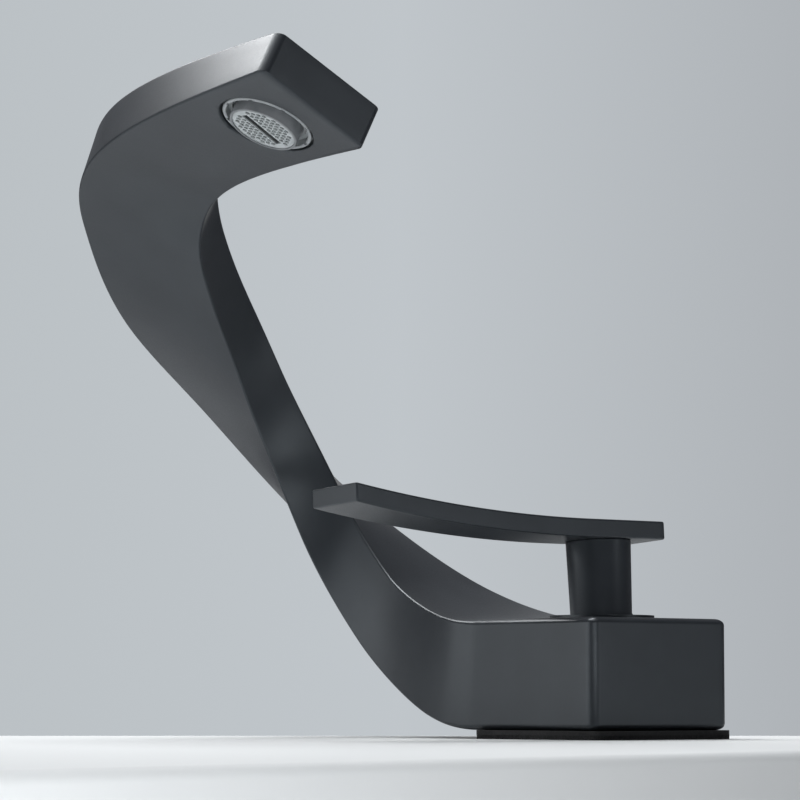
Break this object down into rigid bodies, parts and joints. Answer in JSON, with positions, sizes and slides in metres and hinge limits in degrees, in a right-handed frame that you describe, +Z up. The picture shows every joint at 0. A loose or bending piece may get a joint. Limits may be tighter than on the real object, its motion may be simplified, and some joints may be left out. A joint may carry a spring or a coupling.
{
  "type": "bathroom mixer faucet",
  "caption": "Deck-mounted single-lever basin mixer whose square block runs out into a flat ribbon spout that rises in a half turn to a swivelling spray outlet.",
  "frame": {"origin": "centre of the block's footprint on the deck's upper face", "axes": "+Z up; the user stands at -Y and the lever points at them; +X to the user's right, the ribbon swings out to -X"},
  "size_m": [0.1706, 0.159, 0.243],
  "materials": {
    "black_coating": "satin-matte black coating",
    "black_rubber": "dull rubber and foam",
    "brass": "turned",
    "steel": "plain zinc-bright steel",
    "white_plastic": "moulded acetal",
    "grey_plastic": "moulded, slightly glossy when wet",
    "ceramic": "lapped alumina"
  },
  "bodies": {
    "faucet": {"body": "black_coating", "base_gasket": "black_rubber", "foam_pad": "black_rubber", "trim_ring": "black_coating", "cartridge_nut": "brass", "cartridge_housing": "white_plastic", "cartridge_foot": "white_plastic", "port_seals": "black_rubber", "housing_seal": "black_rubber", "fixed_disc": "ceramic", "outlet_housing": "grey_plastic", "outlet_seal": "black_rubber", "clamp_stud": "steel", "clamp_rubber": "black_rubber", "clamp_plate": "steel", "clamp_nut": "brass"},
    "turning_rotor": {"rotor": "grey_plastic", "pivot_pin": "steel"},
    "sliding_disc": {"moving_disc": "ceramic", "disc_carrier": "grey_plastic"},
    "handle": {"spindle": "steel", "stem": "black_coating", "grub_screw": "steel", "joint_stud": "steel", "lever": "black_coating"},
    "nozzle": {"swivel_ball": "grey_plastic", "mixing_disc": "grey_plastic", "spray_screen": "grey_plastic"}
  },
  "joints": [
    {"name": "lever_swing", "type": "hinge", "parent": "faucet", "child": "turning_rotor", "pos_m": [0, 0, 0.029], "axis": [0, 0, 1], "range_deg": [-45, 45]},
    {"name": "lever_lift", "type": "hinge", "parent": "turning_rotor", "child": "handle", "pos_m": [0, 0, 0.029], "axis": [-1, 0, 0], "range_deg": [0, 20]},
    {"name": "disc_slide", "type": "slide", "parent": "turning_rotor", "child": "sliding_disc", "axis": [0, -1, 0], "range_m": [0, 0.0032]},
    {"name": "spray_swivel", "type": "hinge", "parent": "faucet", "child": "nozzle", "pos_m": [-0.00173, -0.11255, 0.1671], "axis": [-0.8968, 0.3903, -0.2085], "range_deg": [-13, 7]}
  ],
  "couplings": [
    {"joint": "disc_slide", "follows": "lever_lift", "m_per_rad": 0.009112}
  ]
}
